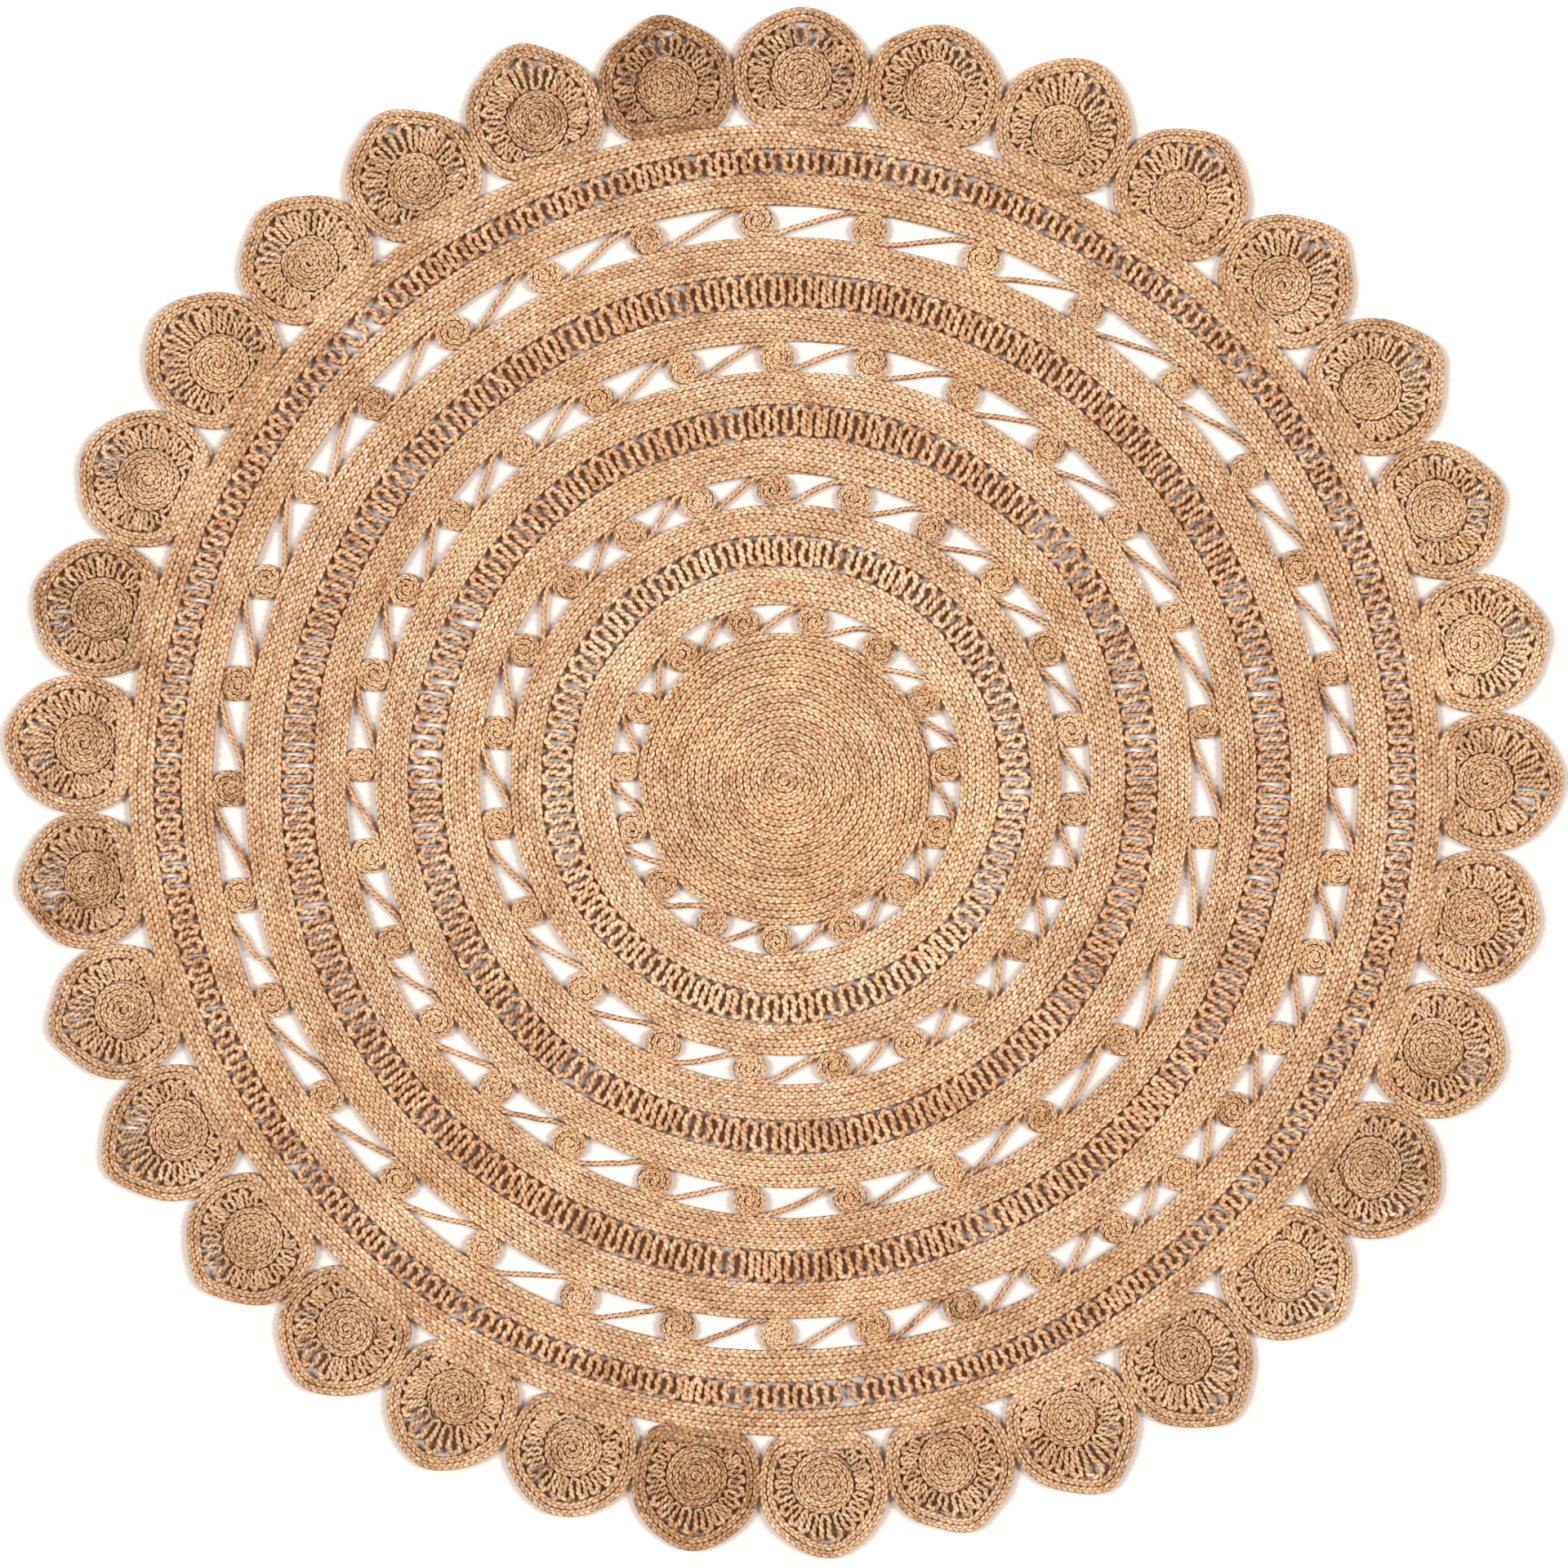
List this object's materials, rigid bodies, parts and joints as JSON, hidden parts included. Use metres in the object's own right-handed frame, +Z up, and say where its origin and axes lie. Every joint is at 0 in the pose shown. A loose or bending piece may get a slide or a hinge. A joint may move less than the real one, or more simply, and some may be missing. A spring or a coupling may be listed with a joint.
{
  "type": "area rug",
  "caption": "Round openwork jute rug: coiled centre, rings of rosettes, plaited bands and looped plait, and a scalloped border of coiled petals.",
  "frame": {"origin": "centre of the coiled centre's flat underside, on the floor", "axes": "+Z up out of the floor, +Y and +X in the plane of the rug; the first petal lies just clockwise of +Y"},
  "size_m": [2.4662, 2.4532, 0.009],
  "materials": {
    "centre_plait": "matte",
    "band_plait": "matte",
    "rosette_plait": "matte",
    "link_plait": "matte",
    "loop_plait": "matte",
    "petal_plait": "matte"
  },
  "bodies": {
    "root": {"centre_coil": "centre_plait", "rosettes_1": "rosette_plait", "links_1": "link_plait", "inner_band_1": "band_plait", "loops_1": "loop_plait", "outer_band_1": "band_plait", "rosettes_2": "rosette_plait", "links_2": "link_plait", "inner_band_2": "band_plait", "loops_2": "loop_plait", "outer_band_2": "band_plait", "rosettes_3": "rosette_plait", "links_3": "link_plait", "inner_band_3": "band_plait", "loops_3": "loop_plait", "outer_band_3": "band_plait", "rosettes_4": "rosette_plait", "links_4": "link_plait", "inner_band_4": "band_plait", "loops_4": "loop_plait", "outer_band_4": "band_plait", "petal_01": "petal_plait", "petal_02": "petal_plait", "petal_03": "petal_plait", "petal_04": "petal_plait", "petal_05": "petal_plait", "petal_06": "petal_plait", "petal_07": "petal_plait", "petal_08": "petal_plait", "petal_09": "petal_plait", "petal_10": "petal_plait", "petal_11": "petal_plait", "petal_12": "petal_plait", "petal_13": "petal_plait", "petal_14": "petal_plait", "petal_15": "petal_plait", "petal_16": "petal_plait", "petal_17": "petal_plait", "petal_18": "petal_plait", "petal_19": "petal_plait", "petal_20": "petal_plait", "petal_21": "petal_plait", "petal_22": "petal_plait", "petal_23": "petal_plait", "petal_24": "petal_plait", "petal_25": "petal_plait", "petal_26": "petal_plait", "petal_27": "petal_plait", "petal_28": "petal_plait", "petal_29": "petal_plait", "petal_30": "petal_plait", "petal_31": "petal_plait", "petal_32": "petal_plait", "petal_33": "petal_plait"}
  },
  "joints": []
}
